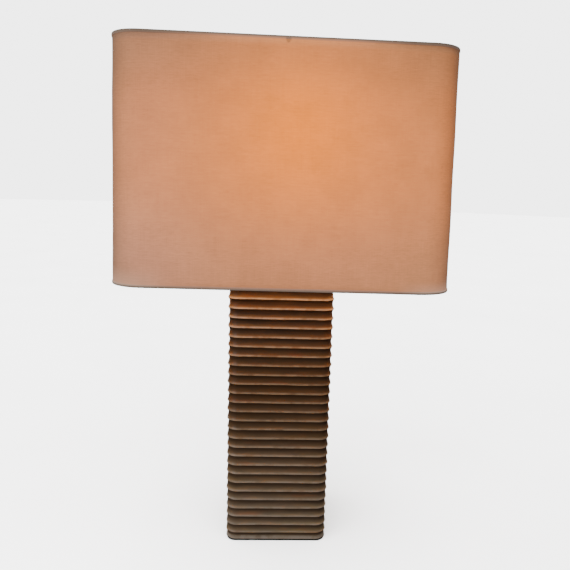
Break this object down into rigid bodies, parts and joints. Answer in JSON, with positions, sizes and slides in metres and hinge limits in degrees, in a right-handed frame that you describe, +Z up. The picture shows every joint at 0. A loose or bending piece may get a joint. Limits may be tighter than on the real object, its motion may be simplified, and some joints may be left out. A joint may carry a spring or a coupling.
{
  "type": "table lamp",
  "caption": "Table lamp with a ribbed square column, a soft-cornered rectangular fabric shade on a harp and spider, a turn-switch socket and a bulb.",
  "frame": {"origin": "middle of the footprint, on the surface that the lamp stands on", "axes": "+Z up the column, +X along the shade's width, +Y towards the back, where the cord leaves"},
  "size_m": [0.4612, 0.2682, 0.7298],
  "materials": {
    "bronze_glaze": "satin bronze glaze, darker under each ridge",
    "felt": "pressed felt",
    "painted_steel": "black paint",
    "plated_steel": "zinc plated",
    "raw_brass": "plain, cut threads",
    "rubber": "matt",
    "black_nylon": "moulded",
    "lacquered_brass": "antique, lacquered",
    "liner_card": "waxed card",
    "phenolic": "dark brown phenolic",
    "frosted_glass": "frosted inside, lit; emissive",
    "bulb_aluminium": "pressed thread",
    "black_glass": "black insulating glass",
    "clear_glass": "clear",
    "tungsten": "glowing wire; emissive",
    "shade_cloth": "slubbed weave, lit from behind",
    "styrene_lining": "translucent white sheet",
    "ring_wire": "white powder coat",
    "hem_tape": "rolled tape of the shade's cloth"
  },
  "bodies": {
    "stand": {"column_shell": "bronze_glaze", "felt_pad": "felt", "base_plate": "painted_steel", "base_washer": "plated_steel", "base_nut": "plated_steel", "lamp_pipe": "raw_brass", "centring_bush": "rubber", "cord_bush": "black_nylon", "cord_bush_nut": "black_nylon", "vase_cap": "lacquered_brass", "neck_tube": "lacquered_brass", "check_ring": "lacquered_brass", "harp_saddle": "lacquered_brass", "saddle_locknut": "raw_brass", "harp_wire": "lacquered_brass", "harp_top_stud": "lacquered_brass", "socket_cap": "lacquered_brass", "socket_set_screw": "plated_steel", "socket_shell": "lacquered_brass", "insulating_liner": "liner_card", "socket_body": "phenolic", "screw_shell": "raw_brass", "centre_contact": "raw_brass", "terminal_screws": "plated_steel"},
    "left_sleeve": {"harp_sleeve_left": "lacquered_brass"},
    "right_sleeve": {"harp_sleeve_right": "lacquered_brass"},
    "switch": {"switch_shaft": "raw_brass", "switch_key": "phenolic"},
    "bulb_foot": {"bulb_contact": "plated_steel"},
    "bulb": {"bulb_glass": "frosted_glass", "bulb_base": "bulb_aluminium", "bulb_insulator": "black_glass", "bulb_stem": "clear_glass", "filament": "tungsten"},
    "shade": {"shade_fabric": "shade_cloth", "shade_lining": "styrene_lining", "top_ring": "ring_wire", "bottom_ring": "ring_wire", "top_hem": "hem_tape", "bottom_hem": "hem_tape", "spider_arms": "ring_wire", "spider_hub": "plated_steel"},
    "finial_foot": {"finial_washer": "lacquered_brass"},
    "finial": {"finial": "lacquered_brass"}
  },
  "joints": [
    {"name": "shade_swivel", "type": "hinge", "parent": "stand", "child": "shade", "pos_m": [0, 0, 0.7031], "axis": [0, 0, 1], "continuous": true},
    {"name": "left_sleeve_lift", "type": "slide", "parent": "stand", "child": "left_sleeve", "axis": [0, 0, 1], "range_m": [0, 0.012]},
    {"name": "right_sleeve_lift", "type": "slide", "parent": "stand", "child": "right_sleeve", "axis": [0, 0, 1], "range_m": [0, 0.012]},
    {"name": "switch_turn", "type": "hinge", "parent": "stand", "child": "switch", "pos_m": [0, -0.02, 0.4842], "axis": [0, -1, 0], "continuous": true},
    {"name": "bulb_lift", "type": "slide", "parent": "stand", "child": "bulb_foot", "axis": [0, 0, 1], "range_m": [0, 0.01996]},
    {"name": "bulb_turn", "type": "hinge", "parent": "bulb_foot", "child": "bulb", "pos_m": [0, 0, 0.51], "axis": [0, 0, 1], "range_deg": [0, 1980]},
    {"name": "finial_lift", "type": "slide", "parent": "stand", "child": "finial_foot", "axis": [0, 0, 1], "range_m": [0, 0.00564]},
    {"name": "finial_turn", "type": "hinge", "parent": "finial_foot", "child": "finial", "pos_m": [0, 0, 0.71], "axis": [0, 0, 1], "range_deg": [0, 2160]}
  ],
  "couplings": [
    {"joint": "bulb_turn", "follows": "bulb_lift", "rad_per_m": 1731.6},
    {"joint": "finial_turn", "follows": "finial_lift", "rad_per_m": 6679.1}
  ]
}
